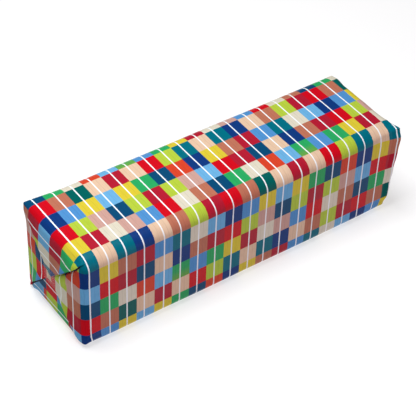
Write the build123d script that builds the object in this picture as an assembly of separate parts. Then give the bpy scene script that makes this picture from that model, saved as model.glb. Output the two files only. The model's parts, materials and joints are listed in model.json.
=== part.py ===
from build123d import *
import math
import os

# A square wooden kaleidoscope, gift wrapped in one sheet of paper.
# The frame: +X runs along the length, from the eye end to the object end, -Y is the front,
# +Z is up, and the origin is the middle of the face that the parcel rests on. Millimetres.

# The parcel, measured outside the paper.
length = 220.0
width = 64.2
height = 65.1
top_edge_radius = 7.6
bottom_edge_radius = 5.4
end_edge_radius = 5.0

# The paper, its end flaps and the clear tape that holds it.
paper = 0.3
paper_gap = 0.1
flap_gap = 0.2
tape_thickness = 0.15
end_tape_radius = 6.5
seam_tape_length = 34.0
seam_tape_width = 18.0
seam_tape_places = (-72.0, 0.0, 72.0)
seam_height = 22.0

# The wooden body: four boards between two end plates.
skin = paper + paper_gap
board = 7.0
end_plate = 8.0
wood_end = length / 2 - skin
wood_half_width = width / 2 - skin
wood_half_height = height / 2 - skin
plate_inside = wood_end - end_plate
inner_half_width = wood_half_width - board
inner_half_height = wood_half_height - board
axis_height = height / 2

# The screws that hold an end plate, one into the end grain near each corner.
screw_from_middle = 27.0
screw_radius = 1.5
screw_length = 16.0
screw_head_radius = 2.8
screw_head = 1.8
screw_head_depth = 2.0
screw_clearance = 0.05

# The eyepiece, from the outside in.
eye_hole_radius = 9.0
eye_ring_radius = 13.0
eye_ring = 3.0
eye_ring_opening = 8.5
lens_radius = 12.0
lens = 2.0
retainer_radius = 16.5
retainer = 1.2
retainer_screw_ring = 14.2
retainer_screw_radius = 1.0
retainer_screw_length = 5.0
retainer_screw_head_radius = 1.9
retainer_screw_head = 0.8

# The mirrors: three strips of glass round an equilateral triangle.
view_corner_radius = 14.5
mirror = 2.0
mirror_start = -95.0
mirror_end = 72.0
cradle = 6.0
cradle_places = {"eye_end": -80.0, "middle": -5.0, "object_end": 62.0}
band = 0.3
band_width = 12.0
band_places = (-45.0, 28.0)

# The object drum, which turns on two journals, and the thumb wheel round it.
bearing_start = 72.5
bearing_end = 78.0
axial_play = 0.5
journal_radius = 18.0
journal_clearance = 0.05
journal_depth = 3.5
drum_radius = 21.0
drum_start = bearing_end + axial_play
drum_end = plate_inside - axial_play
front_journal_start = 74.0
rear_journal_end = plate_inside + journal_depth - axial_play
throat_radius = 14.5
cell_radius = 16.5
disc_clearance = 0.1
clear_disc_start = 79.5
disc = 2.0
spacer_length = 14.0
spacer_wall = 1.0
drum_ring = 1.5
wheel_radius = 31.0
wheel_width = 10.0
wheel_middle = 89.3
wheel_edge_radius = 1.2
wheel_clearance = 0.55
wheel_grooves = 42
groove_radius = 1.3
groove_centre_radius = 31.4

# The frosted window that lets light in behind the drum.
window_radius = 17.0
window_clearance = 0.05
window = 2.0
window_ring = 1.0

# The loose pieces, heaped at the bottom of the cell in three layers of two rows.
gem_layers = (83.9, 88.5, 93.1)
gem_rows = ((12.9, 23.0, 5), (8.0, 37.0, 3))
gem_radius = 2.25
gem_kinds = ("red_jewels", "blue_beads", "green_chips", "amber_cubes", "clear_rods")


def along_x(radius, start, end, y=0.0, z=axis_height):
    """A round bar along X from start to end."""
    bar = Cylinder(radius, end - start, rotation=(0, 90, 0))
    return Pos((start + end) / 2, y, z) * bar


def ring_along_x(outer, inner, start, end):
    """A round ring about the optical axis."""
    return along_x(outer, start, end) - along_x(inner, start - 1, end + 1)


def block(x_range, y_range, z_range):
    """A box given by its lowest and highest coordinate along each axis."""
    ranges = (x_range, y_range, z_range)
    middle = [(low + high) / 2 for low, high in ranges]
    size = [high - low for low, high in ranges]
    return Pos(*middle) * Box(*size)


def prism(sketch, start, end):
    """A flat outline in Y and Z, pushed along X from start to end."""
    return extrude(Plane.YZ.offset(start) * sketch, amount=end - start)


def rounded_bar(inset):
    """The parcel's outer form, drawn in by inset all over."""
    half_width = width / 2 - inset
    low, high = inset, height - inset
    bar = block((inset - length / 2, length / 2 - inset), (-half_width, half_width), (low, high))
    bar = fillet(bar.edges().filter_by(Axis.X).group_by(Axis.Z)[-1], top_edge_radius - inset)
    bar = fillet(bar.edges().filter_by(Axis.X).group_by(Axis.Z)[0], bottom_edge_radius - inset)
    for end_face in (0, -1):
        rim = bar.faces().sort_by(Axis.X)[end_face].outer_wire().edges()
        bar = fillet(rim, end_edge_radius - inset)
    return bar


def mouth(gap):
    """The flat part of the parcel's end, inside its rounded rim, drawn in by gap."""
    outline = Rectangle(width - 2 * end_edge_radius, height - 2 * end_edge_radius)
    upper = outline.vertices().group_by(Axis.Y)[-1]
    outline = fillet(upper, top_edge_radius - end_edge_radius)
    lower = outline.vertices().group_by(Axis.Y)[0]
    outline = fillet(lower, bottom_edge_radius - end_edge_radius)
    if gap:
        outline = offset(outline, -gap)
    return Pos(0, axis_height) * outline


def paper_sleeve():
    """The sheet round the four sides, with its bends over the end edges."""
    sleeve = rounded_bar(0) - rounded_bar(paper)
    sleeve -= prism(mouth(0), -length / 2 - 1, length / 2 + 1)
    for tape in seam_tape():
        sleeve -= tape
    return sleeve


def seam_tape():
    """Three strips of tape across the seam, let into the back of the sheet."""
    back = width / 2
    return [
        block(
            (x - seam_tape_length / 2, x + seam_tape_length / 2),
            (back - tape_thickness, back),
            (seam_height - seam_tape_width / 2, seam_height + seam_tape_width / 2),
        )
        for x in seam_tape_places
    ]


def end_tape(end):
    """The round patch of clear tape over the middle of a folded end."""
    outside = end * length / 2
    inside = outside - end * tape_thickness
    return along_x(end_tape_radius, min(outside, inside), max(outside, inside))


def end_flaps(end):
    """The four triangles that meet at the middle of a folded end, by name."""
    half_width = width / 2 - end_edge_radius
    half_height = height / 2 - end_edge_radius
    corners = {
        "top": ((-half_width, half_height), (half_width, half_height)),
        "back": ((half_width, half_height), (half_width, -half_height)),
        "bottom": ((half_width, -half_height), (-half_width, -half_height)),
        "front": ((-half_width, -half_height), (-half_width, half_height)),
    }
    outside = end * length / 2
    inside = outside - end * paper
    low, high = min(outside, inside), max(outside, inside)
    clear_mouth = prism(mouth(flap_gap), low, high)
    flaps = {}
    for name, (first, second) in corners.items():
        triangle = make_face(Polyline(first, second, (0, 0), close=True))
        triangle = offset(triangle, -flap_gap / 2, kind=Kind.INTERSECTION)
        flap = prism(Pos(0, axis_height) * triangle, low, high) & clear_mouth
        flaps[name] = flap - end_tape(end)
    return flaps


def wheel_window(distance):
    """Half the opening that a board at this distance from the axis needs to clear the wheel."""
    return math.sqrt((wheel_radius + wheel_clearance) ** 2 - distance**2)


def screw_centres():
    """Where the end screws stand, in Y and Z."""
    return [
        (side * screw_from_middle, axis_height + level * screw_from_middle)
        for side in (-1, 1)
        for level in (-1, 1)
    ]


def end_screw(end, y, z, spare=0.0):
    """One end screw. With spare it is the cutter for its hole, open to the outside."""
    seat = wood_end - screw_head_depth
    under_head = seat - screw_head
    tip = under_head - screw_length
    head_top = wood_end + 1 if spare else seat
    shank = along_x(screw_radius + spare, tip, seat - screw_head / 2, y, z)
    head = along_x(screw_head_radius + spare, under_head, head_top, y, z)
    screw = shank + head
    if not spare:
        slot = block((seat - 0.7, seat + 1), (y - 4, y + 4), (z - 0.4, z + 0.4))
        screw -= slot
    return screw if end > 0 else mirror_end_for_end(screw)


def mirror_end_for_end(solid):
    """The same solid at the other end of the body."""
    return solid.mirror(Plane.YZ)


def wooden_boards():
    """The four long boards, each with its window for the thumb wheel."""
    bar = rounded_bar(skin)
    span = (-plate_inside, plate_inside)
    slot = (
        wheel_middle - wheel_width / 2 - wheel_clearance,
        wheel_middle + wheel_width / 2 + wheel_clearance,
    )
    tall = wheel_window(inner_half_width)
    wide = wheel_window(inner_half_height)
    side_window = block(slot, (-width, width), (axis_height - tall, axis_height + tall))
    flat_window = block(slot, (-wide, wide), (-height, 2 * height))
    inner_y = (-inner_half_width, inner_half_width)
    whole_z = (0, height)
    floor_top = axis_height - inner_half_height
    ceiling = axis_height + inner_half_height
    boards = {
        "front_board": (bar & block(span, (-width, -inner_half_width), whole_z)) - side_window,
        "back_board": (bar & block(span, (inner_half_width, width), whole_z)) - side_window,
        "top_board": (bar & block(span, inner_y, (ceiling, height))) - flat_window,
        "bottom_board": (bar & block(span, inner_y, (0, floor_top))) - flat_window,
    }
    for name in ("front_board", "back_board"):
        for end in (-1, 1):
            for y, z in screw_centres():
                boards[name] -= end_screw(end, y, z, screw_clearance)
    return boards


def eye_end_plate():
    """The plate with the viewing hole, recessed outside for the ring and inside for the lens."""
    outside, inside = -wood_end, -plate_inside
    plate = rounded_bar(skin) & block((outside, inside), (-width, width), (0, height))
    plate -= along_x(eye_ring_radius, outside - 1, outside + eye_ring)
    plate -= along_x(eye_hole_radius, outside, inside)
    plate -= along_x(lens_radius, inside - lens, inside + 1)
    for y, z in screw_centres():
        plate -= end_screw(-1, y, z, screw_clearance)
    for screw in retainer_screws():
        plate -= screw
    return plate


def object_end_plate():
    """The plate behind the drum, bored for its rear journal and recessed outside for the window."""
    plate = rounded_bar(skin) & block((plate_inside, wood_end), (-width, width), (0, height))
    journal_floor = plate_inside + journal_depth
    plate -= along_x(journal_radius + journal_clearance, plate_inside - 1, journal_floor)
    plate -= along_x(throat_radius, plate_inside, wood_end)
    plate -= along_x(window_radius, wood_end - window - window_ring, wood_end + 1)
    for y, z in screw_centres():
        plate -= end_screw(1, y, z, screw_clearance)
    return plate


def eyepiece_ring():
    """The ring round the viewing hole, dished towards the eye."""
    ring = ring_along_x(eye_ring_radius, eye_ring_opening, -wood_end, eye_ring - wood_end)
    dish = Pos(-wood_end, 0, axis_height) * Cone(11.0, eye_ring_opening, 4.0, rotation=(0, 90, 0))
    return ring - dish


def lens_retainer():
    """The ring screwed inside the plate to hold the lens."""
    start = -plate_inside
    ring = ring_along_x(retainer_radius, eye_ring_opening, start, start + retainer)
    for screw in retainer_screws():
        ring -= screw
    return ring


def retainer_screws():
    """Three small screws through the retainer into the eye end plate."""
    head_seat = retainer - plate_inside
    screws = []
    for number in range(3):
        angle = math.radians(90 + 120 * number)
        y = retainer_screw_ring * math.cos(angle)
        z = axis_height + retainer_screw_ring * math.sin(angle)
        shank = along_x(
            retainer_screw_radius, head_seat - retainer_screw_length, head_seat, y, z
        )
        head = along_x(
            retainer_screw_head_radius, head_seat, head_seat + retainer_screw_head, y, z
        )
        screws.append(shank + head)
    return screws


def triangle_corner(radius, number):
    """A corner of the mirror triangle, which stands on one side, in Y and Z from the axis."""
    angle = math.radians(90 + 120 * number)
    return (radius * math.cos(angle), radius * math.sin(angle))


def triangle_bar(radius, start, end):
    """A bar of equilateral section about the optical axis."""
    corners = [triangle_corner(radius, number) for number in range(3)]
    outline = make_face(Polyline(*corners, close=True))
    return prism(Pos(0, axis_height) * outline, start, end)


def mirrors():
    """Three mirrors with mitred edges, face to face round the triangle."""
    outer = view_corner_radius + 2 * mirror
    strips = {}
    for number, name in enumerate(("left_mirror", "lower_mirror", "right_mirror")):
        corners = [
            triangle_corner(view_corner_radius, number),
            triangle_corner(outer, number),
            triangle_corner(outer, number + 1),
            triangle_corner(view_corner_radius, number + 1),
        ]
        outline = make_face(Polyline(*corners, close=True))
        strips[name] = prism(Pos(0, axis_height) * outline, mirror_start, mirror_end)
    return strips


def mirror_cradle(middle):
    """A plate that fills the body's bore and holds the mirrors in a triangular hole."""
    start, end = middle - cradle / 2, middle + cradle / 2
    half_width, half_height = inner_half_width, inner_half_height
    z_range = (axis_height - half_height, axis_height + half_height)
    plate = block((start, end), (-half_width, half_width), z_range)
    return plate - triangle_bar(view_corner_radius + 2 * mirror, start - 1, end + 1)


def mirror_bands():
    """The tape wound round the mirrors."""
    inner = view_corner_radius + 2 * mirror
    bands = []
    for middle in band_places:
        start, end = middle - band_width / 2, middle + band_width / 2
        bands.append(
            triangle_bar(inner + 2 * band, start, end) - triangle_bar(inner, start - 1, end + 1)
        )
    return bands


def bearing_plate():
    """The plate that carries the drum's front journal."""
    z_range = (axis_height - inner_half_height, axis_height + inner_half_height)
    plate = block((bearing_start, bearing_end), (-inner_half_width, inner_half_width), z_range)
    return plate - along_x(
        journal_radius + journal_clearance, bearing_start - 1, bearing_end + 1
    )


def drum_shell():
    """The turned drum: a wide middle between two journals, bored through from behind."""
    shell = along_x(drum_radius, drum_start, drum_end)
    shell += along_x(journal_radius, front_journal_start, rear_journal_end)
    shell -= along_x(throat_radius, front_journal_start - 1, clear_disc_start + 1)
    shell -= along_x(cell_radius, clear_disc_start, rear_journal_end + 1)
    return shell


def thumb_wheel():
    """The grooved wheel that the thumb turns through the windows in the boards."""
    start = wheel_middle - wheel_width / 2
    end = wheel_middle + wheel_width / 2
    wheel = along_x(wheel_radius, start, end)
    wheel = fillet(wheel.edges(), wheel_edge_radius)
    for number in range(wheel_grooves):
        angle = 2 * math.pi * number / wheel_grooves
        y = groove_centre_radius * math.cos(angle)
        z = axis_height + groove_centre_radius * math.sin(angle)
        wheel -= along_x(groove_radius, start - 1, end + 1, y, z)
    return wheel - along_x(drum_radius, start - 1, end + 1)


def cell_pieces():
    """The discs, spacer and ring inside the drum, in order from the front."""
    disc_radius = cell_radius - disc_clearance
    spacer_start = clear_disc_start + disc
    frosted_start = spacer_start + spacer_length
    ring_start = frosted_start + disc
    return {
        "clear_disc": along_x(disc_radius, clear_disc_start, spacer_start),
        "cell_spacer": ring_along_x(
            disc_radius, disc_radius - spacer_wall, spacer_start, frosted_start
        ),
        "frosted_disc": along_x(disc_radius, frosted_start, ring_start),
        "drum_retaining_ring": ring_along_x(
            cell_radius, throat_radius, ring_start, ring_start + drum_ring
        ),
    }


def gem(kind):
    """One loose piece of a kind, about its own middle."""
    if kind == "red_jewels":
        waist = RegularPolygon(gem_radius, 8)
        crown = extrude(waist, amount=gem_radius * 0.6, taper=35)
        pavilion = extrude(waist, amount=-gem_radius * 0.85, taper=45)
        return crown + pavilion
    if kind == "blue_beads":
        return Sphere(gem_radius) - Cylinder(gem_radius * 0.28, 3 * gem_radius)
    if kind == "green_chips":
        return extrude(RegularPolygon(gem_radius, 3), amount=gem_radius * 0.5, both=True)
    if kind == "amber_cubes":
        side = gem_radius * 1.15
        return chamfer(Box(side, side, side).edges(), side * 0.14)
    return Cylinder(gem_radius * 0.45, gem_radius * 1.7)


def gems():
    """The loose pieces of each kind, as they lie at the bottom of the cell."""
    heap = {kind: [] for kind in gem_kinds}
    number = 0
    for x in gem_layers:
        for radius, spacing, count in gem_rows:
            for place in range(count):
                angle = math.radians(-90 + spacing * (place - (count - 1) / 2))
                middle = (x, radius * math.cos(angle), axis_height + radius * math.sin(angle))
                kind = gem_kinds[number % len(gem_kinds)]
                turn = Rotation(40 * number, 90 if kind == "clear_rods" else 25 * number, 0)
                heap[kind].append(Pos(*middle) * turn * gem(kind))
                number += 1
    return heap


parts = {"paper_sleeve": paper_sleeve(), "seam_tape": seam_tape()}
for end_name, end_side in (("near", -1), ("far", 1)):
    for flap_name, flap_solid in end_flaps(end_side).items():
        parts[f"{end_name}_{flap_name}_flap"] = flap_solid
    parts[f"{end_name}_end_tape"] = end_tape(end_side)
parts.update(wooden_boards())
parts["eye_end_plate"] = eye_end_plate()
parts["object_end_plate"] = object_end_plate()
for end_name, end_side in (("eye", -1), ("object", 1)):
    parts[f"{end_name}_end_screws"] = [end_screw(end_side, y, z) for y, z in screw_centres()]
parts["eyepiece_ring"] = eyepiece_ring()
parts["eye_lens"] = along_x(lens_radius, -plate_inside - lens, -plate_inside)
parts["lens_retainer"] = lens_retainer()
parts["retainer_screws"] = retainer_screws()
parts.update(mirrors())
for place_name, cradle_middle in cradle_places.items():
    parts[f"{place_name}_mirror_cradle"] = mirror_cradle(cradle_middle)
parts["mirror_bands"] = mirror_bands()
parts["bearing_plate"] = bearing_plate()
window_start = wood_end - window - window_ring
parts["object_window"] = along_x(
    window_radius - window_clearance, window_start, window_start + window
)
parts["window_ring"] = ring_along_x(
    window_radius, throat_radius, window_start + window, wood_end
)
parts["drum_shell"] = drum_shell()
parts["thumb_wheel"] = thumb_wheel()
parts.update(cell_pieces())
parts.update(gems())

os.makedirs("parts", exist_ok=True)
for node, shape in parts.items():
    solids = shape if isinstance(shape, list) else [shape]
    export_step(Compound(children=[Part() + solid for solid in solids]), f"parts/{node}.step")
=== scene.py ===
import json
import math

import bpy
import numpy as np
from mathutils import Matrix, Vector


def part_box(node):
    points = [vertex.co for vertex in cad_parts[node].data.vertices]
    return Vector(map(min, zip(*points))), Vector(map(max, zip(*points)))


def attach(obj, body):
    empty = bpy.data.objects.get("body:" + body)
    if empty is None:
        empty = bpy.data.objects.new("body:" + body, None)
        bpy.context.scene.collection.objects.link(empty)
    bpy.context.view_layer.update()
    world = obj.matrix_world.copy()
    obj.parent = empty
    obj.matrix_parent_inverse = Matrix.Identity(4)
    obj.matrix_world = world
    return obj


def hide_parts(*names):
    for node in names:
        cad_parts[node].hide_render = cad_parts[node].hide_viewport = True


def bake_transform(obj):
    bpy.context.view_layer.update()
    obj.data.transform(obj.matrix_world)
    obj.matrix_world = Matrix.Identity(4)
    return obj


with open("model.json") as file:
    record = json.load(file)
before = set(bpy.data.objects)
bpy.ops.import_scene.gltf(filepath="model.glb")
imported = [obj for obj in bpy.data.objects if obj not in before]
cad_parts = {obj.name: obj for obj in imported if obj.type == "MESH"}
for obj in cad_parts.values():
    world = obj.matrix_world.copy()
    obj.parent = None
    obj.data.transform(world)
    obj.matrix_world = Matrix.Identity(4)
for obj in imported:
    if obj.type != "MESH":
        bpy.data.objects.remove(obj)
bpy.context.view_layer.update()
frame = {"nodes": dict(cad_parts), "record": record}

# A kaleidoscope wrapped as a gift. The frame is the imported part's own: +X runs from the eye end to
# the object end, -Y is the front, +Z is up. Everything is in metres.

MM = 0.001

# ---------- sizes ----------

sleeve_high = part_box("paper_sleeve")[1]
HALF_LENGTH = sleeve_high.x
HALF_WIDTH = sleeve_high.y
HEIGHT = sleeve_high.z
MIDDLE = HEIGHT / 2

# How far each bend of the paper reaches from the edge it goes round. At the corners of the ends it
# is a crease, and it takes its usual size within the corner run.
TOP_BEND_ON_TOP = 8.5 * MM
TOP_BEND_ON_SIDE = 7.0 * MM
BOTTOM_BEND = 5.2 * MM
END_BEND = 5.0 * MM
NEAR_BOTTOM_BEND = 6.2 * MM
CREASE = 1.3 * MM
SHARP_CORNER = 0.8 * MM
SOFT_CORNER = 3.5 * MM
CORNER_RUN = 16.0 * MM

# How far the pointed corners are drawn in along each axis, how the near back foot is moved, and
# how far along the parcel and round the corner that reaches.
PINCH_TOP = (0.3 * MM, 1.9 * MM, 1.8 * MM)
PINCH_BOTTOM = (1.3 * MM, 1.6 * MM, 1.5 * MM)
FOOT_SHIFT = (1.0 * MM, -3.8 * MM, 0.3 * MM)
PINCH_RUN = 26.0 * MM
PINCH_SPREAD = 10.0 * MM

# The dog's ear at the far front: where its tip goes, the length of paper it takes, how far it
# reaches along the front and across the end, and how far down from the top it is bent back.
EAR_SHIFT = (2.0 * MM, -3.6 * MM, 0.0)
EAR_PAPER = 2.6 * MM
EAR_LENGTH = 15.0 * MM
EAR_WIDTH = 16.0 * MM
EAR_NECK = 6.0 * MM

# The paper's own thickness, single and with the tucks under it, and how loosely it lies.
PAPER = 0.2 * MM
TUCKED = 0.45 * MM
PAPER_CLEARANCE = 0.32 * MM
SLACK = 0.28 * MM
CRUMPLE = 0.3 * MM

# A flap starts on the long side, before the end edge, and turns within a narrow band at the fold.
FLAP_START = 5.0 * MM
FLAP_PROUD = 0.35 * MM
FLAP_OVERLAP = 0.7 * MM

# The print: blocks in columns along the length and rows round the girth. FIRST_LINE is how far
# column 0's white line is from the eye end, and each column begins COLUMN_EDGE of a column before
# its line. ROW_AT_CREST is the row coordinate of the middle of the top.
COLUMN = 11.95 * MM
ROW = 12.0 * MM
FIRST_LINE = 4.63 * MM
COLUMN_EDGE = 0.46
ROW_AT_CREST = 3.0

# The wooden body under the paper.
WOOD_INSET = 0.4 * MM
WOOD_TOP_RADIUS = 7.2 * MM
WOOD_BOTTOM_RADIUS = 5.0 * MM
WOOD_END_RADIUS = 4.6 * MM

# The seam, low on the back: its height, the lap of the paper and how far the lap stands off.
SEAM_HEIGHT = 22.0 * MM
SEAM_LAP = 12.0 * MM
SEAM_STEP = 0.3 * MM

# What half of a round bend takes off the flat length, as a share of its reach.
LOST = 1 - math.pi / 4


def smooth(t):
    """0 below 0, 1 above 1 and an even ramp between."""
    t = np.clip(t, 0.0, 1.0)
    return t * t * (3 - 2 * t)


# ---------- the form of the wrapped parcel ----------


def rim_bend(points):
    """How far the bend at an end reaches along X: a crisp crease at the corners, softer between."""
    x, y, z = points.T
    from_side = HALF_WIDTH - np.abs(y)
    from_level = np.minimum(z, HEIGHT - z)
    near, front, upper = x < 0, y < 0, z > MIDDLE
    corner = np.where(near & front & upper, SOFT_CORNER, CREASE)
    corner = np.where(near & ~front & upper, SHARP_CORNER, corner)
    upright = np.where(~near & front, CREASE, END_BEND)
    widening = 3.0 * MM * (1 - z / HEIGHT)
    upright = np.where(near & ~front, END_BEND + widening, upright)
    level = np.where(near & ~upper, NEAR_BOTTOM_BEND, END_BEND)
    share = smooth(0.5 + (from_level - from_side) / (12 * MM))
    between = level + (upright - level) * share
    run = smooth(np.maximum(from_side, from_level) / CORNER_RUN)
    return corner + (between - corner) * run


def pinch(points):
    """1 at the corners where the folded paper comes to a point, down to 0 round them."""
    x, y, z = points.T
    soft_corner = (x < 0) & (y < 0) & (z > MIDDLE)
    along = 1 - smooth((HALF_LENGTH - np.abs(x)) / PINCH_RUN)
    return np.where(soft_corner, 0.0, along)


def soften(points):
    """Points on a sharp box, moved onto the softly bent parcel, and the outward normals there."""
    x, y, z = points.T
    from_side = HALF_WIDTH - np.abs(y)
    from_level = np.minimum(z, HEIGHT - z)
    upper = z > MIDDLE
    pinched = pinch(points)
    on_top = np.where(upper, TOP_BEND_ON_TOP, BOTTOM_BEND)
    on_side = np.where(upper, TOP_BEND_ON_SIDE, BOTTOM_BEND)
    on_top = on_top + (CREASE - on_top) * pinched
    on_side = on_side + (CREASE - on_side) * pinched
    reach_x = rim_bend(points)
    close_level = 1 - smooth((from_level - on_side) / PINCH_SPREAD)
    close_side = 1 - smooth((from_side - on_top) / PINCH_SPREAD)
    reach_y = reach_x + (on_top - reach_x) * close_level
    reach_z = reach_x + (on_side - reach_x) * close_side
    core_x = np.clip(x, reach_x - HALF_LENGTH, HALF_LENGTH - reach_x)
    core_y = np.clip(y, reach_y - HALF_WIDTH, HALF_WIDTH - reach_y)
    core_z = np.clip(z, reach_z, HEIGHT - reach_z)
    core = np.stack([core_x, core_y, core_z], axis=1)
    reach = np.stack([reach_x, reach_y, reach_z], axis=1)
    out = (points - core) / reach
    out /= np.linalg.norm(out, axis=1, keepdims=True)
    normals = out / reach
    normals /= np.linalg.norm(normals, axis=1, keepdims=True)
    side_run = 1 - smooth(from_side / PINCH_SPREAD)
    level_run = 1 - smooth(from_level / PINCH_SPREAD)
    drawn_in = np.where(upper[:, None], PINCH_TOP, PINCH_BOTTOM)
    towards = -np.stack([np.sign(x), np.sign(y), np.where(upper, 1.0, -1.0)], axis=1)
    inwards = (pinched * side_run * level_run)[:, None] * drawn_in * towards
    near_back = (x < 0) & (y > 0)
    inwards *= np.where(near_back, np.where(upper, 0.6, 0.0), 1.0)[:, None]
    foot_run = side_run * (1 - smooth(z / PINCH_RUN)) * (1 - smooth((HALF_LENGTH + x) / (20 * MM)))
    foot = np.where(near_back & ~upper, foot_run, 0.0)
    inwards += foot[:, None] * np.array(FOOT_SHIFT)
    ear = ear_size(points)[:, None] * np.array(EAR_SHIFT)
    return core + out * reach + inwards + ear, normals


def ear_size(points):
    """From 0 to 1, how far the paper at the far front stands off the box like a dog's ear."""
    x, y, z = points.T
    from_front = HALF_WIDTH + y
    along_front = np.clip((x - HALF_LENGTH + EAR_LENGTH) / EAR_LENGTH, 0, 1) ** 1.6
    across_end = (1 - smooth(from_front / EAR_WIDTH)) ** 1.5
    neck = HEIGHT - EAR_NECK
    rise = np.clip(z / neck, 0, 1) ** 1.25
    dip = 1 - smooth((z - neck) / EAR_NECK) * smooth(from_front / (7 * MM) + 0.1)
    return along_front * across_end * rise * dip


def off_the_wood(points):
    """Points pushed outwards wherever they would come too close to the wooden body."""
    x, y, z = points.T
    from_middle = z - MIDDLE
    half_width, half_height = HALF_WIDTH - WOOD_INSET, MIDDLE - WOOD_INSET
    radius = np.where(from_middle > 0, WOOD_TOP_RADIUS, WOOD_BOTTOM_RADIUS)
    past_y = np.maximum(np.abs(y) - (half_width - radius), 0)
    past_z = np.maximum(np.abs(from_middle) - (half_height - radius), 0)
    round_axis = np.hypot(past_y, past_z)
    past_side = np.maximum(round_axis - (radius - WOOD_END_RADIUS), 0)
    past_end = np.maximum(np.abs(x) - (HALF_LENGTH - WOOD_INSET - WOOD_END_RADIUS), 0)
    distance = np.hypot(past_side, past_end) + 1e-9
    missing = np.maximum(WOOD_END_RADIUS + PAPER_CLEARANCE - distance, 0)
    missing = np.where(past_side + past_end > 0, missing, 0)
    sideways = past_side / distance / (round_axis + 1e-9)
    push = np.stack(
        [
            np.sign(x) * past_end / distance,
            np.sign(y) * past_y * sideways,
            np.sign(from_middle) * past_z * sideways,
        ],
        axis=1,
    )
    return points + push * missing[:, None]


def ripples(points, wavelength, seed):
    """Soft random waves of about this wavelength, from 0 to 1."""
    chance = np.random.default_rng(seed)
    total = np.zeros(len(points))
    waves = 7
    for _ in range(waves):
        direction = chance.normal(size=3)
        direction /= np.linalg.norm(direction)
        length = wavelength * chance.uniform(0.7, 1.5)
        phase = chance.uniform(0, 2 * math.pi)
        total += np.sin(points @ direction * (2 * math.pi / length) + phase)
    return 0.5 + 0.5 * np.tanh(total / math.sqrt(waves))


def relief(points):
    """How far the paper stands off the body, from slack and handling."""
    from_end = HALF_LENGTH - np.abs(points[:, 0])
    near_end = 1 - smooth(from_end / (26 * MM))
    slack = SLACK * ripples(points, 52 * MM, 3)
    creases = CRUMPLE * near_end * ripples(points, 13 * MM, 8) ** 2
    return slack + creases


# ---------- the print's coordinates on the sheet ----------


def length_lost(distance, reach):
    """What a bend takes off the flat length, for a place this far before the sharp edge."""
    share = np.clip((reach - distance) / reach, 0.0, 1.0)
    return reach * (np.arctan(share) - share)


def length_after(distance, reach):
    """The paper's length from the middle of a bend to a place this far past the sharp edge."""
    share = np.clip((reach - distance) / reach, 0.0, 1.0)
    bent = reach * (math.pi / 4 - np.arctan(share))
    return np.where(distance < reach, bent, distance - reach * LOST)


def girth_on_top(y):
    """Paper length round the girth from the middle of the top, growing towards the front."""
    side = HALF_WIDTH - np.abs(y)
    return -np.sign(y) * (np.abs(y) + length_lost(side, TOP_BEND_ON_TOP))


def girth_down_side(z):
    """Paper length from the middle of the top to this height on the front, or the back."""
    top_edge = HALF_WIDTH - TOP_BEND_ON_TOP * LOST
    down = length_after(HEIGHT - z, TOP_BEND_ON_SIDE)
    return top_edge + down + length_lost(z, BOTTOM_BEND)


def girth_on_bottom(y):
    """Paper length from the middle of the top, down the front, to this place on the bottom."""
    bottom_edge = girth_down_side(np.zeros(1))[0]
    under = length_after(y + HALF_WIDTH, BOTTOM_BEND)
    return bottom_edge + under + length_lost(HALF_WIDTH - y, BOTTOM_BEND)


def columns(paper_x):
    """The print's column coordinate of a place along the unfolded length."""
    return (paper_x + HALF_LENGTH - FIRST_LINE) / COLUMN


def rows(girth):
    """The print's row coordinate of a place round the girth."""
    return girth / ROW + ROW_AT_CREST


def unfolded_length(points, depth):
    """Unfolded length from the body's middle to places on a long side, or this deep in an end."""
    reach = rim_bend(points)
    from_end = HALF_LENGTH - np.abs(points[:, 0])
    on_side = HALF_LENGTH - from_end + length_lost(from_end, reach)
    over_end = HALF_LENGTH - reach * LOST + length_after(depth, reach)
    return np.where(depth > 0, over_end, on_side) + EAR_PAPER * ear_size(points)


# ---------- meshes ----------


def thin_shell(name, outer, inner, sheet_uv, materials, inner_material=1, rim_material=1):
    """A closed thin sheet from two grids of points, with the print's coordinates on it."""
    count_a, count_b = outer.shape[:2]
    size = count_a * count_b
    vertices = np.concatenate([outer.reshape(-1, 3), inner.reshape(-1, 3)])
    index = np.arange(size).reshape(count_a, count_b)
    quads = np.stack(
        [index[:-1, :-1], index[1:, :-1], index[1:, 1:], index[:-1, 1:]], axis=-1
    ).reshape(-1, 4)
    border = np.concatenate(
        [index[:, 0], index[-1, 1:], index[-2::-1, -1], index[0, -2:0:-1]]
    )
    following = np.roll(border, -1)
    rim = np.stack([following, border, border + size, following + size], axis=-1)
    faces = np.concatenate([quads, quads[:, ::-1] + size, rim])
    mesh = bpy.data.meshes.new(name)
    mesh.from_pydata(vertices.tolist(), [], faces.tolist())
    slots = np.zeros(len(faces), np.int32)
    slots[len(quads) : 2 * len(quads)] = inner_material
    slots[2 * len(quads) :] = rim_material
    mesh.polygons.foreach_set("material_index", slots)
    for material in materials:
        mesh.materials.append(material)
    layer = mesh.uv_layers.new(name="sheet")
    uv = np.concatenate([sheet_uv.reshape(-1, 2)] * 2)
    corner = np.zeros(len(mesh.loops), np.int32)
    mesh.loops.foreach_get("vertex_index", corner)
    layer.data.foreach_set("uv", uv[corner].astype(np.float32).ravel())
    mesh.shade_smooth()
    mesh.set_sharp_from_angle(angle=math.radians(50))
    mesh.update()
    piece = bpy.data.objects.new(name, mesh)
    bpy.context.scene.collection.objects.link(piece)
    return piece


def spaced(start, end, near_start, near_end, fine=0.6 * MM, coarse=2.2 * MM):
    """Places from start to end, close together within near_start and near_end of them."""
    span = abs(end - start)
    places = [0.0]
    while places[-1] < span:
        here = places[-1]
        close = here < near_start or here > span - near_end
        places.append(here + (fine if close else coarse))
    places = np.array(places) * span / places[-1]
    return start + np.sign(end - start) * places


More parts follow.
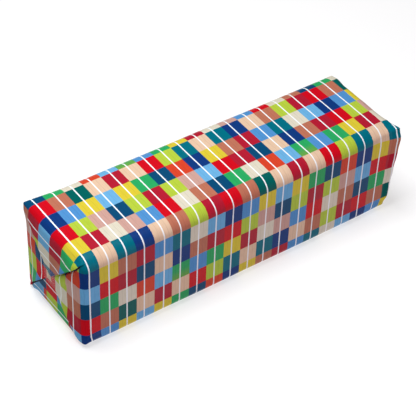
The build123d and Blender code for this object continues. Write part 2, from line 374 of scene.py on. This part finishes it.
def sleeve_outline():
    """The girth as a list of places on the sharp box, and the paper length at each of them."""
    back_up = spaced(SEAM_HEIGHT, HEIGHT, 3 * MM, 12 * MM)
    over = spaced(HALF_WIDTH, -HALF_WIDTH, 12 * MM, 12 * MM)[1:]
    front_down = spaced(HEIGHT, 0, 12 * MM, 8 * MM)[1:]
    under = spaced(-HALF_WIDTH, HALF_WIDTH, 8 * MM, 8 * MM)[1:]
    lap_up = spaced(0, SEAM_HEIGHT + SEAM_LAP, 8 * MM, 3 * MM)[1:]
    y = np.concatenate(
        [
            np.full(len(back_up), HALF_WIDTH),
            over,
            np.full(len(front_down), -HALF_WIDTH),
            under,
            np.full(len(lap_up), HALF_WIDTH),
        ]
    )
    z = np.concatenate(
        [back_up, np.full(len(over), HEIGHT), front_down, np.zeros(len(under)), lap_up]
    )
    bottom_turn = girth_on_bottom(np.array([HALF_WIDTH]))[0]
    girth = np.concatenate(
        [
            -girth_down_side(back_up),
            girth_on_top(over),
            girth_down_side(front_down),
            girth_on_bottom(under),
            bottom_turn + length_after(lap_up, BOTTOM_BEND),
        ]
    )
    step = np.zeros(len(y))
    step[: len(back_up)] = SEAM_STEP * (1 - smooth((back_up - SEAM_HEIGHT - SEAM_LAP) / (8 * MM)))
    return y, z, girth, step


def make_sleeve(materials):
    """The paper round the four long sides, lapped at the seam on the back."""
    y, z, girth, step = sleeve_outline()
    reach = HALF_LENGTH - FLAP_START
    x = spaced(-reach, reach, 24 * MM, 24 * MM, fine=1.0 * MM, coarse=2.5 * MM)
    grid = np.stack(
        [
            np.broadcast_to(x[:, None], (len(x), len(y))),
            np.broadcast_to(y[None, :], (len(x), len(y))),
            np.broadcast_to(z[None, :], (len(x), len(y))),
        ],
        axis=-1,
    )
    flat = grid.reshape(-1, 3)
    placed, normals = soften(flat)
    lift = relief(placed) + np.broadcast_to(step, (len(x), len(y))).ravel()
    outer = off_the_wood(placed + normals * lift[:, None])
    inner = outer - normals * PAPER
    paper_x = flat[:, 0] + EAR_PAPER * ear_size(flat)
    uv = np.stack(
        [
            columns(paper_x).reshape(len(x), len(y)),
            np.broadcast_to(rows(girth)[None, :], (len(x), len(y))),
        ],
        axis=-1,
    )
    piece = thin_shell(
        "wrapping_sleeve", outer.reshape(grid.shape), inner.reshape(grid.shape), uv, materials
    )
    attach(piece, "casing")
    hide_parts("paper_sleeve")


OUTWARDS = {"near": -1, "far": 1}
SIDE_FLAPS = ("front", "back")

# How far each flap's two slanting edges stand off (or, below 0, are tucked in) at the ends of the
# parcel: first the edge on the -Y or lower side, then the one on the +Y or upper side.
EDGE_LIFT = {
    ("near", "top"): (1.1 * MM, 0.1 * MM),
    ("near", "bottom"): (0.0, 0.0),
    ("near", "front"): (0.5 * MM, -1.3 * MM),
    ("near", "back"): (1.3 * MM, -0.2 * MM),
    ("far", "top"): (0.5 * MM, 0.8 * MM),
    ("far", "bottom"): (0.0, 0.0),
    ("far", "front"): (0.4 * MM, 0.2 * MM),
    ("far", "back"): (0.4 * MM, 0.0),
}
# How far from the corner of the parcel those edges have come to stand off in full.
LIFT_RUN = {("near", "back"): 16 * MM}
USUAL_LIFT_RUN = 5 * MM
# How high a flap rolls up along its upper edge, leaving a groove beside the flap over it.
EDGE_ROLL = {("near", "front"): 0.9 * MM}
GROOVE = 1.1 * MM
# How much of that lift the bend at the corner has already.
LIP_SHARE = 0.8
# How far a side flap reaches over the bottom flap, past the middle of their shared corner.
LOWER_OVERLAP = {("near", "front"): 3.0 * MM}
# How much of a flap's half width, at its +Y or upper edge, is painted shade: a dark strip that
# stands in for the shadow in the slit under its neighbour. It grows by this much again towards the
# flap's point.
PAINTED_SHADE_SHARE = {("near", "bottom"): 0.11, ("near", "front"): 0.065}
PAINTED_SHADE_GROWTH = 1.2
# How far each folded end swells in its middle.
END_CROWN = {"near": 1.3 * MM, "far": 1.0 * MM}
# The bottom flap lies flat against the body, under all the others, with this share of the swell.
FLAT_SHARE = 0.15
# The near bottom flap was folded a little askew: how far its print is out, and how that grows
# along Y.
SKEW = 2.0 * MM
SKEW_SLOPE = 0.03


def crown(end, y, z):
    """How far the folded end swells at a place in its plane."""
    across = 1 - np.abs(y / HALF_WIDTH) ** 2.5
    up = 1 - np.abs((z - MIDDLE) / MIDDLE) ** 2.5
    return END_CROWN[end] * np.clip(across * up, 0, 1) ** 0.8


def flap_grid(end, side, count=89):
    """A flap's places, from its start on the long side to its point in the middle of the end.

    For each place: how far it is before the end's edge, how deep in the end, how far to the side,
    that as a share of the flap's half width there, and the half width.
    """
    half_span = MIDDLE if side in SIDE_FLAPS else HALF_WIDTH
    reach = HALF_WIDTH if side in SIDE_FLAPS else MIDDLE
    spread = np.sin(np.linspace(-1, 1, count) * math.pi / 2)
    across = spread * (0.5 + 0.5 * np.abs(spread))
    before = np.linspace(FLAP_START, 0, 12)
    after = np.concatenate(
        [np.linspace(0, 8 * MM, 14)[1:], np.linspace(8 * MM, reach * 0.985, 24)[1:]]
    )
    total = len(before) + len(after)
    from_end = np.concatenate([before, np.zeros(len(after))])
    depth = np.concatenate([np.zeros(len(before)), after])
    narrowing = 1 - depth / reach
    lower, upper = FLAP_OVERLAP, FLAP_OVERLAP
    if side in SIDE_FLAPS:
        lower, upper = LOWER_OVERLAP.get((end, side), FLAP_OVERLAP), -0.15 * MM
    spare = np.where(across < 0, lower, upper)[None, :]
    width = narrowing[:, None] * half_span + spare * smooth(depth / (5 * MM))[:, None]
    width = np.minimum(width, half_span)
    span = across[None, :] * width
    shape = (total, count)
    return (
        np.broadcast_to(from_end[:, None], shape),
        np.broadcast_to(depth[:, None], shape),
        span,
        np.broadcast_to(across[None, :], shape),
        width,
    )


def flap_on_box(end, side, from_end, depth, span):
    """A flap's places on the sharp box."""
    x = OUTWARDS[end] * (HALF_LENGTH - from_end)
    if side == "top":
        y, z = span, HEIGHT - depth
    elif side == "bottom":
        y, z = span, depth
    elif side == "front":
        y, z = depth - HALF_WIDTH, MIDDLE + span
    else:
        y, z = HALF_WIDTH - depth, MIDDLE + span
    y = np.clip(y, -HALF_WIDTH, HALF_WIDTH)
    z = np.clip(z, 0, HEIGHT)
    return np.stack([x, y, z], axis=1)


def lifted_edges(end, side, depth, across, from_edge):
    """How far a flap's places stand off the end, where its edges lift or roll."""
    held = smooth((depth - MIDDLE + 15 * MM) / (9 * MM))
    near_edge = smooth((np.abs(across) - 0.45) / 0.55)
    along_arm = smooth(depth / LIFT_RUN.get((end, side), USUAL_LIFT_RUN)) * (1 - held)
    lower_lift, upper_lift = EDGE_LIFT[end, side]
    lift = np.where(across < 0, lower_lift, upper_lift) * near_edge * along_arm
    rise = smooth((from_edge - GROOVE) / (0.7 * MM))
    fall = 1 - smooth((from_edge - 2.6 * MM) / (7 * MM))
    roll = EDGE_ROLL.get((end, side), 0.0) * rise * fall * smooth(depth / (4 * MM))
    return lift + np.where(across > 0, roll * (1 - 0.7 * held), 0.0)


def lip(end, side, from_end, depth, across):
    """How far the bend stands off at the lower or -Y corner, where the lifted edge begins."""
    near_bend = smooth(1 - np.hypot(from_end, depth) / (5 * MM))
    near_corner = smooth((np.abs(across) - 0.8) / 0.2)
    lift = LIP_SHARE * max(EDGE_LIFT[end, side][0], 0)
    return np.where(across < 0, near_bend * near_corner * lift, 0.0)


def flap_print(end, side, flat, from_end, depth):
    """The print's coordinates on a flap."""
    along = unfolded_length(flat, depth)
    if (end, side) == ("near", "bottom"):
        skew = SKEW + SKEW_SLOPE * flat[:, 1]
        along += skew * smooth((FLAP_START - from_end + depth) / (9 * MM))
    if side == "top":
        girth = girth_on_top(flat[:, 1])
    elif side == "front":
        girth = girth_down_side(flat[:, 2])
    elif side == "back":
        girth = -girth_down_side(flat[:, 2])
    else:
        girth = girth_on_bottom(flat[:, 1])
    return np.stack([columns(OUTWARDS[end] * along), rows(girth)], axis=1)


def apply_painted_shade(piece, inside):
    """Painted shade: gives the marked places of a flap's outer side the dark material in slot 2, for
    the shadow in the slit under the neighbouring flap.
    """
    strip = (inside[:-1, :-1] & inside[:-1, 1:]).ravel()
    faces = piece.data.polygons
    slots = np.zeros(len(faces), np.int32)
    faces.foreach_get("material_index", slots)
    slots[: len(strip)][strip] = 2
    faces.foreach_set("material_index", slots)


def blend_over_fold(piece):
    """Bakes the flap's placement into its mesh."""
    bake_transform(piece)


def make_flap(end, side, materials):
    """One flap of a folded end, with the bend that joins it to the sleeve."""
    grid = flap_grid(end, side)
    shape = grid[0].shape
    from_end, depth, span, across, width = (values.ravel() for values in grid)
    flat = flap_on_box(end, side, from_end, depth, span)
    placed, normals = soften(flat)
    in_plane = smooth(depth / (12 * MM))
    from_edge = (width - np.abs(span)) * math.sqrt(0.5)
    loose = 1 - (1 - FLAT_SHARE) * in_plane if side == "bottom" else 1.0
    proud = FLAP_PROUD * in_plane if side == "top" else 0.0
    tucks = (TUCKED - PAPER) * in_plane if side == "top" else 0.0 * in_plane
    outward = crown(end, flat[:, 1], flat[:, 2]) * in_plane * loose + proud
    outward += lifted_edges(end, side, depth, across, from_edge)
    off_body = relief(placed) * loose + lip(end, side, from_end, depth, across)
    outer = placed + normals * off_body[:, None]
    outer[:, 0] += OUTWARDS[end] * outward
    outer = off_the_wood(outer)
    inner = outer - normals * (PAPER + tucks)[:, None]
    # Painted shade: the strip along the flap's edge under its neighbour takes the dark material, for
    # the shadow in the slit between them.
    share = PAINTED_SHADE_SHARE.get((end, side), 0.0) * (1 + PAINTED_SHADE_GROWTH * depth / depth.max())
    painted_strip = (depth > 0) & (across > 1 - share)
    grids = [outer, inner, flap_print(end, side, flat, from_end, depth), painted_strip[:, None]]
    grids = [values.reshape(*shape, -1) for values in grids]
    if (end == "near") != (side in ("top", "back")):
        grids = [values[:, ::-1] for values in grids]
    outer, inner, uv, painted_strip = grids
    back_face = 1 if side in SIDE_FLAPS else 0
    piece = thin_shell(f"{end}_{side}_wrap", outer, inner, uv, materials, back_face, 0)
    apply_painted_shade(piece, painted_strip[..., 0])
    blend_over_fold(piece)
    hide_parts(f"{end}_{side}_flap")


# ---------- materials ----------


def linear(colour, strength=1.0):
    """A colour given as 0 to 255 for a screen, as the linear colour that a shader takes."""
    shares = [value / 255 for value in colour]
    made = [s / 12.92 if s <= 0.04045 else ((s + 0.055) / 1.055) ** 2.4 for s in shares]
    return (*(value * strength for value in made), 1.0)


class Graph:
    """A material whose nodes are added one line at a time."""

    def __init__(self, name):
        self.material = bpy.data.materials.new(name)
        self.material.use_nodes = True
        self.tree = self.material.node_tree
        self.shader = self.tree.nodes["Principled BSDF"]

    def put(self, socket, value):
        """Sets a socket from a number or a colour, or links it to another socket."""
        if isinstance(value, bpy.types.NodeSocket):
            self.tree.links.new(value, socket)
        else:
            socket.default_value = value

    def node(self, kind, inputs=(), **settings):
        made = self.tree.nodes.new(kind)
        for name, value in settings.items():
            setattr(made, name, value)
        for name, value in dict(inputs).items():
            self.put(made.inputs[name], value)
        return made

    def math(self, operation, *values):
        made = self.tree.nodes.new("ShaderNodeMath")
        made.operation = operation
        for socket, value in zip(made.inputs, values):
            self.put(socket, value)
        return made.outputs[0]

    def ramp_between(self, value, low, high, to_low=0.0, to_high=1.0):
        """A smooth step from low to high, which may run downwards."""
        made = self.node(
            "ShaderNodeMapRange",
            {
                "Value": value,
                "From Min": low,
                "From Max": high,
                "To Min": to_low,
                "To Max": to_high,
            },
            interpolation_type="SMOOTHSTEP",
        )
        return made.outputs[0]

    def mix(self, factor, first, second, blend="MIX"):
        made = self.node("ShaderNodeMix", data_type="RGBA", blend_type=blend)
        self.put(made.inputs[0], factor)
        self.put(made.inputs[6], first)
        self.put(made.inputs[7], second)
        return made.outputs[2]

    def ramp(self, factor, stops, interpolation="LINEAR"):
        made = self.node("ShaderNodeValToRGB", {"Fac": factor})
        made.color_ramp.interpolation = interpolation
        elements = made.color_ramp.elements
        while len(elements) < len(stops):
            elements.new(1.0)
        for element, (place, colour) in zip(elements, stops):
            element.position = place
            element.color = colour
        return made.outputs["Color"]

    def noise(self, vector, scale, detail=2.0, roughness=0.5):
        made = self.node(
            "ShaderNodeTexNoise",
            {"Vector": vector, "Scale": scale, "Detail": detail, "Roughness": roughness},
        )
        return made.outputs["Fac"]

    def stretch(self, vector, scale):
        made = self.node("ShaderNodeMapping", {"Vector": vector, "Scale": scale})
        return made.outputs[0]

    def place(self):
        """The surface's own coordinates, in metres."""
        return self.node("ShaderNodeTexCoord").outputs["Object"]

    def bump(self, height, distance, strength=1.0):
        made = self.node(
            "ShaderNodeBump", {"Height": height, "Distance": distance, "Strength": strength}
        )
        self.put(self.shader.inputs["Normal"], made.outputs[0])

    def finish(self, **inputs):
        """Sets the shader's own sockets, with _ for a space in their names."""
        for name, value in inputs.items():
            self.put(self.shader.inputs[name.replace("_", " ")], value)
        return self.material


PALETTE = {
    "petrol": (10, 80, 124),
    "green": (47, 180, 104),
    "cream": (236, 229, 208),
    "orange": (228, 74, 46),
    "sky": (116, 188, 238),
    "cornflower": (87, 156, 220),
    "yellow": (233, 213, 62),
    "crimson": (190, 32, 55),
    "pink": (217, 172, 160),
    "red": (222, 14, 33),
    "terracotta": (200, 123, 97),
    "forest": (0, 103, 98),
    "peach": (242, 208, 177),
    "lime": (192, 218, 70),
    "teal": (0, 118, 138),
    "navy": (18, 62, 134),
}
# One green block in each repeat fades to this along its length.
FADED_GREEN = (112, 178, 78)
FADED_COLUMN = 5

# The colours above are as bright as the studio light makes them; the ink itself is darker.
INK = 0.7

# One repeat of the print, eight columns by eight rows. The next eight columns are the same, moved
# by half a repeat round the girth.
REPEAT = (
    "petrol green cream orange sky green cornflower green",
    "red terracotta forest peach crimson peach red lime",
    "navy cornflower yellow sky yellow green petrol orange",
    "red lime pink petrol lime crimson lime pink",
    "yellow crimson cream pink cornflower red cream terracotta",
    "teal peach teal navy peach terracotta lime crimson",
    "navy yellow terracotta crimson cornflower teal cream sky",
    "sky red crimson petrol peach navy terracotta crimson",
)
# A tuck shows at the bottom corner of the near end, past this place, in one block of this row.
TUCK_EDGE = 11.5 * MM
TUCK_ROW = 10
# The white line down the middle of each column: how far it is off true, and its half width, as
# shares of a column.
LINE_SHIFT = (0.0, 0.045, 0.0, -0.035, 0.07, -0.005, 0.005, 0.01)
LINE_HALF_WIDTH = 0.034
LINE_EDGE = 0.006
WHITE = (222, 227, 230)
# Two faint dark hairlines in each block, this far on either side of the white line.
HAIRLINE_PLACE = 0.26
HAIRLINE = (30, 22, 40)
FIBRE = (20, 16, 24)


def printed_paper(name, gloss):
    """Semi-gloss gift wrap: blocks of colour with a white line down the middle of each column."""
    graph = Graph(name)
    uv = graph.node("ShaderNodeUVMap", uv_map="sheet").outputs[0]
    apart = graph.node("ShaderNodeSeparateXYZ", {"Vector": uv})
    across, down = apart.outputs["X"], apart.outputs["Y"]
    count = len(REPEAT)
    tuck_start = float(rows(girth_on_bottom(np.array([TUCK_EDGE])))[0])
    tucked = graph.math("GREATER_THAN", down, tuck_start)
    column = graph.math("FLOOR", graph.math("ADD", across, COLUMN_EDGE))
    tucked = graph.math("MULTIPLY", tucked, graph.math("COMPARE", column, -1.0, 0.5))
    to_tuck = graph.math("SUBTRACT", TUCK_ROW + 0.5, down)
    down = graph.math("ADD", down, graph.math("MULTIPLY", tucked, to_tuck))
    repeat = graph.math("FLOOR", graph.math("DIVIDE", column, count))
    in_repeat = graph.math("SUBTRACT", column, graph.math("MULTIPLY", repeat, count))
    row = graph.math("ADD", graph.math("FLOOR", down), graph.math("MULTIPLY", repeat, count / 2))
    row = graph.math("FLOORED_MODULO", row, count)
    pick = graph.math("DIVIDE", graph.math("ADD", in_repeat, 0.5), count)
    colour = None
    for number, names in enumerate(REPEAT):
        stops = [(i / count, linear(PALETTE[name], INK)) for i, name in enumerate(names.split())]
        blocks = graph.ramp(pick, stops, "CONSTANT")
        chosen = graph.math("COMPARE", row, float(number), 0.5)
        colour = blocks if colour is None else graph.mix(chosen, colour, blocks)
    fading = graph.ramp_between(graph.math("FRACT", down), 0.35, 1.0)
    fading = graph.math("MULTIPLY", fading, graph.math("COMPARE", row, 0.0, 0.5))
    fading = graph.math("MULTIPLY", fading, graph.math("COMPARE", in_repeat, FADED_COLUMN, 0.5))
    colour = graph.mix(fading, colour, linear(FADED_GREEN, INK))
    fibres = graph.noise(graph.stretch(uv, (34.0, 2.2, 1.0)), 1.0, 3.0)
    colour = graph.mix(
        graph.ramp_between(fibres, 0.35, 0.75, 0.0, 0.12), colour, linear(FIBRE)
    )
    shift_stops = [
        (i / count, (0.5 + shift, 0.5 + shift, 0.5 + shift, 1.0))
        for i, shift in enumerate(LINE_SHIFT)
    ]
    shift = graph.math("SUBTRACT", graph.ramp(pick, shift_stops, "CONSTANT"), 0.5)
    from_line = graph.math("SUBTRACT", graph.math("SUBTRACT", across, column), shift)
    from_line = graph.math("ABSOLUTE", from_line)
    from_hairline = graph.math("ABSOLUTE", graph.math("SUBTRACT", from_line, HAIRLINE_PLACE))
    hairline = graph.ramp_between(from_hairline, 0.006, 0.02, 0.14, 0.0)
    colour = graph.mix(hairline, colour, linear(HAIRLINE))
    line = graph.ramp_between(
        from_line, LINE_HALF_WIDTH - LINE_EDGE, LINE_HALF_WIDTH + LINE_EDGE, 1.0, 0.0
    )
    colour = graph.mix(line, colour, linear(WHITE))
    place = graph.place()
    grain = graph.noise(place, 1500.0, 3.0)
    hollows = graph.noise(place, 160.0, 2.0)
    height = graph.math("ADD", grain, graph.math("MULTIPLY", hollows, 1.6))
    graph.bump(height, 0.05 * MM, 0.5)
    rough = graph.ramp_between(hollows, 0.3, 0.7, 0.3, 0.4)
    return graph.finish(Base_Color=colour, Roughness=rough, IOR=1.34, Specular_IOR_Level=gloss)


def plain_paper():
    """The unprinted back of the gift wrap."""
    graph = Graph("plain_paper")
    place = graph.place()
    grain = graph.noise(place, 900.0, 4.0)
    cloud = graph.noise(place, 70.0, 3.0)
    colour = graph.mix(cloud, linear((238, 236, 230)), linear((228, 226, 222)))
    graph.bump(grain, 0.04 * MM, 0.6)
    return graph.finish(Base_Color=colour, Roughness=0.75)


def painted_slit_shade():
    """Painted shade: a dark matte colour that stands in for the shadow in the slit between two
    flaps.
    """
    graph = Graph("painted_slit_shade")
    grain = graph.noise(graph.place(), 700.0, 3.0)
    # These dark tones are painted shade, not the paper's own colour.
    colour = graph.mix(grain, linear((34, 32, 44)), linear((54, 46, 52)))
    graph.bump(grain, 0.04 * MM, 0.5)
    return graph.finish(Base_Color=colour, Roughness=0.8, Specular_IOR_Level=0.1)


def clear_tape():
    """Thin clear adhesive tape, faintly cloudy where it isn't pressed down."""
    graph = Graph("clear_tape")
    place = graph.place()
    cloud = graph.noise(place, 110.0, 3.0)
    colour = graph.mix(cloud, linear((236, 236, 230)), linear((250, 250, 248)))
    alpha = graph.ramp_between(cloud, 0.35, 0.75, 0.03, 0.06)
    return graph.finish(Base_Color=colour, Roughness=0.3, Alpha=alpha, Specular_IOR_Level=0.1)


def wood(name, light, dark, ring=9.0 * MM, rough=0.45):
    """Wood with growth rings and fine pores along X."""
    graph = Graph(name)
    place = graph.place()
    wander = graph.noise(graph.stretch(place, (14.0, 60.0, 60.0)), 1.0, 3.0)
    rings = graph.node(
        "ShaderNodeTexWave",
        {
            "Vector": graph.stretch(place, (0.12, 1.0, 1.0)),
            "Scale": 0.31 / ring,
            "Distortion": 5.0,
            "Detail": 3.0,
            "Detail Scale": 1.3,
        },
        wave_type="RINGS",
        rings_direction="X",
        wave_profile="SAW",
    ).outputs["Fac"]
    pores = graph.noise(graph.stretch(place, (120.0, 1700.0, 1700.0)), 1.0, 4.0, 0.65)
    rings_share = graph.math("MULTIPLY", rings, 0.6)
    tone = graph.math("ADD", rings_share, graph.math("MULTIPLY", wander, 0.5))
    colour = graph.ramp(tone, [(0.25, linear(light)), (0.85, linear(dark))])
    pore_mask = graph.ramp_between(pores, 0.56, 0.72, 0.0, 0.5)
    deep = tuple(int(value * 0.55) for value in dark)
    colour = graph.mix(pore_mask, colour, linear(deep))
    graph.bump(pores, 0.08 * MM, 0.35)
    worn = graph.ramp_between(rings, 0.0, 1.0, rough - 0.06, rough + 0.08)
    return graph.finish(Base_Color=colour, Roughness=worn)


# How close together the marks in a metal lie along X, Y and Z, per metre.
POLISHED = (900.0, 900.0, 900.0)
TURNED = (2500.0, 300.0, 300.0)
SILVERED = (40.0, 40.0, 40.0)


def metal(name, colour, dull, rough, marked=POLISHED):
    """Metal with fine tool marks and a little tarnish."""
    graph = Graph(name)
    place = graph.place()
    marks = graph.noise(graph.stretch(place, marked), 1.0, 3.0)
    tarnish = graph.noise(place, 95.0, 4.0)
    dulled = graph.ramp_between(tarnish, 0.45, 0.8, 0.0, 0.7)
    tone = graph.mix(dulled, linear(colour), linear(dull))
    graph.bump(marks, 0.02 * MM, 0.4)
    worn = graph.ramp_between(marks, 0.3, 0.7, rough, rough + 0.14)
    return graph.finish(Base_Color=tone, Metallic=1.0, Roughness=worn)


def glass(name, colour, rough, alpha, ripple=60.0):
    """Glass that keeps a body of its own, so that it also shows in plain viewers."""
    graph = Graph(name)
    place = graph.place()
    streaks = graph.noise(place, ripple * 4, 3.0)
    pale = tuple(min(255, int(value * 1.12) + 6) for value in colour)
    tone = graph.mix(streaks, linear(colour), linear(pale))
    graph.bump(streaks, 0.03 * MM, 0.3)
    return graph.finish(
        Base_Color=tone,
        Roughness=graph.ramp_between(streaks, 0.3, 0.7, rough, rough + 0.06),
        Alpha=alpha,
        IOR=1.5,
        Coat_Weight=0.4,
    )


def plastic(name, colour, worn, rough):
    """Moulded plastic or fibreboard with a fine texture."""
    graph = Graph(name)
    place = graph.place()
    speckle = graph.noise(place, 620.0, 4.0)
    tone = graph.mix(graph.ramp_between(speckle, 0.4, 0.75), linear(colour), linear(worn))
    graph.bump(speckle, 0.05 * MM, 0.5)
    return graph.finish(
        Base_Color=tone, Roughness=graph.ramp_between(speckle, 0.3, 0.7, rough, rough + 0.1)
    )


def dress_cad_nodes():
    """Gives each CAD node that stays the procedural material of its slot."""
    made = {
        "beech": wood("beech", (214, 170, 122), (176, 126, 80)),
        "walnut": wood("walnut", (112, 74, 48), (62, 38, 24), 6.0 * MM, 0.38),
        "cradle_board": plastic("cradle_board", (150, 116, 80), (122, 92, 62), 0.8),
        "brass_fittings": metal("brass_fittings", (222, 184, 104), (176, 136, 70), 0.2),
        "steel_screws": metal("steel_screws", (188, 188, 192), (140, 140, 146), 0.26),
        "drum_metal": metal("drum_metal", (205, 207, 212), (170, 172, 178), 0.24, TURNED),
        "mirror_glass": metal("mirror_glass", (236, 240, 242), (214, 222, 226), 0.03, SILVERED),
        "optical_glass": glass("optical_glass", (226, 240, 238), 0.03, 0.3),
        "frosted_glass": glass("frosted_glass", (226, 234, 238), 0.5, 0.82, 220.0),
        "black_tape": plastic("black_tape", (26, 26, 28), (44, 44, 46), 0.42),
        "spacer_plastic": plastic("spacer_plastic", (226, 224, 216), (206, 204, 196), 0.5),
        "red_glass": glass("red_glass", (206, 18, 40), 0.06, 0.8),
        "blue_glass": glass("blue_glass", (24, 72, 204), 0.06, 0.8),
        "green_glass": glass("green_glass", (24, 160, 84), 0.1, 0.8),
        "amber_glass": glass("amber_glass", (232, 150, 30), 0.06, 0.8),
        "clear_glass": glass("clear_glass", (232, 240, 244), 0.04, 0.55),
    }
    slot_of = {row["node"]: row["material_slot"] for row in frame["record"]["subparts"]}
    for node, obj in frame["nodes"].items():
        if slot_of[node] in made:
            obj.data.materials.clear()
            obj.data.materials.append(made[slot_of[node]])


# ---------- tape ----------


TAPE_UNDERSIDE = 0.04 * MM
TAPE_OUTSIDE = 0.1 * MM
TOOTH = 0.35 * MM
END_TAPE_WIDTH = 13 * MM
END_TAPE_HEIGHT = 12 * MM
# The end tape lies this far off the swelled paper, clear of its creases.
END_TAPE_LIFT = 0.15 * MM
SEAM_TAPE_LENGTH = 34 * MM
SEAM_TAPE_HEIGHT = 18 * MM


def tape_piece(name, surface, width, height, material, body, replaced, teeth=11):
    """A strip of tape, cut with a toothed blade, on a surface given by two coordinates."""
    count_a, count_b = 49, 25
    a = np.linspace(-0.5, 0.5, count_a)[:, None] * np.ones(count_b)
    b = np.linspace(-0.5, 0.5, count_b)[None, :] * np.ones((count_a, 1))
    tooth = TOOTH * np.abs(np.mod(b * teeth, 1) - 0.5) * 2
    place_a = a * width + np.where(np.abs(a) > 0.499, -np.sign(a) * tooth, 0)
    place_b = b * height
    points, normals = surface(place_a.ravel(), place_b.ravel())
    outer = (points + normals * TAPE_OUTSIDE).reshape(count_a, count_b, 3)
    inner = (points + normals * TAPE_UNDERSIDE).reshape(count_a, count_b, 3)
    uv = np.stack([a, b], axis=-1)
    piece = thin_shell(name, outer, inner, uv, [material], 0, 0)
    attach(piece, body)
    if replaced:
        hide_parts(replaced)


def end_tapes(material):
    """The patch of tape over the middle of each folded end."""
    for end, towards in OUTWARDS.items():

        def surface(a, b):
            y, z = a, MIDDLE + b
            flat = np.stack([np.full(len(a), towards * HALF_LENGTH), y, z], axis=1)
            lift = crown(end, y, z) + FLAP_PROUD + relief(flat) + END_TAPE_LIFT
            flat[:, 0] += towards * lift
            return flat, np.tile([towards, 0.0, 0.0], (len(a), 1))

        tape_piece(
            f"{end}_tape_patch",
            surface,
            END_TAPE_WIDTH,
            END_TAPE_HEIGHT,
            material,
            f"{end}_top",
            f"{end}_end_tape",
        )


def seam_tapes(material):
    """The three strips across the seam on the back."""
    low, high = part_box("seam_tape")
    half = SEAM_TAPE_LENGTH / 2
    middles = (low.x + half, (low.x + high.x) / 2, high.x - half)
    for number, middle in enumerate(middles, 1):

        def surface(a, b):
            flat = np.stack([middle + a, np.full(len(a), HALF_WIDTH), SEAM_HEIGHT + b], axis=1)
            placed, normals = soften(flat)
            step = SEAM_STEP * smooth(b / (1.5 * MM) + 0.5)
            return placed + normals * (relief(placed) + step)[:, None], normals

        tape_piece(
            f"seam_tape_strip_{number}",
            surface,
            SEAM_TAPE_LENGTH,
            SEAM_TAPE_HEIGHT,
            material,
            "casing",
            "seam_tape" if number == 1 else None,
        )


# ---------- floor, light and camera ----------


FLOOR_HALF = 6.0
FLOOR_GLOW = 0.65
# The floor is this far down, under the slack of the paper.
FLOOR_DEPTH = 0.5 * MM
CAMERA_LENS = 130.45
CAMERA_PLACE = (-0.3962, -0.5307, 0.6306)
# The camera's azimuth, elevation and roll, in degrees.
CAMERA_TURN = (-36.46, 42.28, 2.41)


def make_floor():
    """A plain pale light table: a white floor that glows a little, so that shadows stay soft."""
    half = FLOOR_HALF
    mesh = bpy.data.meshes.new("floor")
    corners = [(-half, -half, 0), (half, -half, 0), (half, half, 0), (-half, half, 0)]
    mesh.from_pydata(corners, [], [(0, 1, 2, 3)])
    floor = bpy.data.objects.new("floor", mesh)
    floor.location.z = -FLOOR_DEPTH
    bpy.context.scene.collection.objects.link(floor)
    graph = Graph("floor")
    cloud = graph.noise(graph.place(), 3.0)
    tone = graph.mix(cloud, linear((164, 164, 165)), linear((162, 162, 163)))
    mesh.materials.append(
        graph.finish(
            Base_Color=tone,
            Roughness=0.9,
            Specular_IOR_Level=0.1,
            Emission_Color=(1.0, 1.0, 1.0, 1.0),
            Emission_Strength=FLOOR_GLOW,
        )
    )


def area_light(name, place, aim, size, power, colour=(1, 1, 1)):
    """A square soft light at place, turned towards aim."""
    light = bpy.data.lights.new(name, "AREA")
    light.shape = "SQUARE"
    light.size = size
    light.energy = power
    light.color = colour
    lamp = bpy.data.objects.new(name, light)
    lamp.location = place
    lamp.rotation_mode = "QUATERNION"
    lamp.rotation_quaternion = (Vector(place) - Vector(aim)).to_track_quat("Z", "Y")
    bpy.context.scene.collection.objects.link(lamp)


def make_light():
    """A soft light overhead, a weak rosy one from the front, and a trace from all round."""
    middle = (0, 0, MIDDLE)
    area_light("overhead", (-0.14, 0.05, 0.75), (-0.14, 0.05, 0), 0.36, 7.7)
    area_light("front_fill", (0.2, -1.6, 0.5), middle, 0.9, 6.0, (1.0, 0.64, 0.83))
    world = bpy.data.worlds.new("studio")
    world.use_nodes = True
    background = world.node_tree.nodes["Background"]
    background.inputs["Color"].default_value = (1.0, 1.0, 1.0, 1.0)
    background.inputs["Strength"].default_value = 0.02
    bpy.context.scene.world = world
    bpy.context.scene.view_settings.view_transform = "Standard"


def make_camera():
    """The camera, turned a little about its own axis."""
    camera_data = bpy.data.cameras.new("camera")
    camera_data.lens = CAMERA_LENS
    camera = bpy.data.objects.new("camera", camera_data)
    azimuth, elevation, roll = (math.radians(angle) for angle in CAMERA_TURN)
    back = Vector(
        (
            math.sin(azimuth) * math.cos(elevation),
            -math.cos(azimuth) * math.cos(elevation),
            math.sin(elevation),
        )
    )
    camera.location = CAMERA_PLACE
    upright = back.to_track_quat("Z", "Y").to_matrix()
    turned = upright @ Matrix.Rotation(roll, 3, "Z")
    camera.rotation_euler = turned.to_euler()
    bpy.context.scene.collection.objects.link(camera)
    bpy.context.scene.camera = camera


# ---------- the scene ----------

make_camera()
make_floor()
make_light()
paper_back = plain_paper()
make_sleeve([printed_paper("printed_paper", 0.16), paper_back])
# The folded ends are duller, from creasing and handling.
handled_paper = printed_paper("handled_paper", 0.02)
# The third slot is painted shade for the slits between the flaps.
painted_shade_paper = painted_slit_shade()
for end_name in ("near", "far"):
    for side_name in ("top", "bottom", "front", "back"):
        make_flap(end_name, side_name, [handled_paper, paper_back, painted_shade_paper])
tape_material = clear_tape()
end_tapes(tape_material)
seam_tapes(tape_material)
dress_cad_nodes()
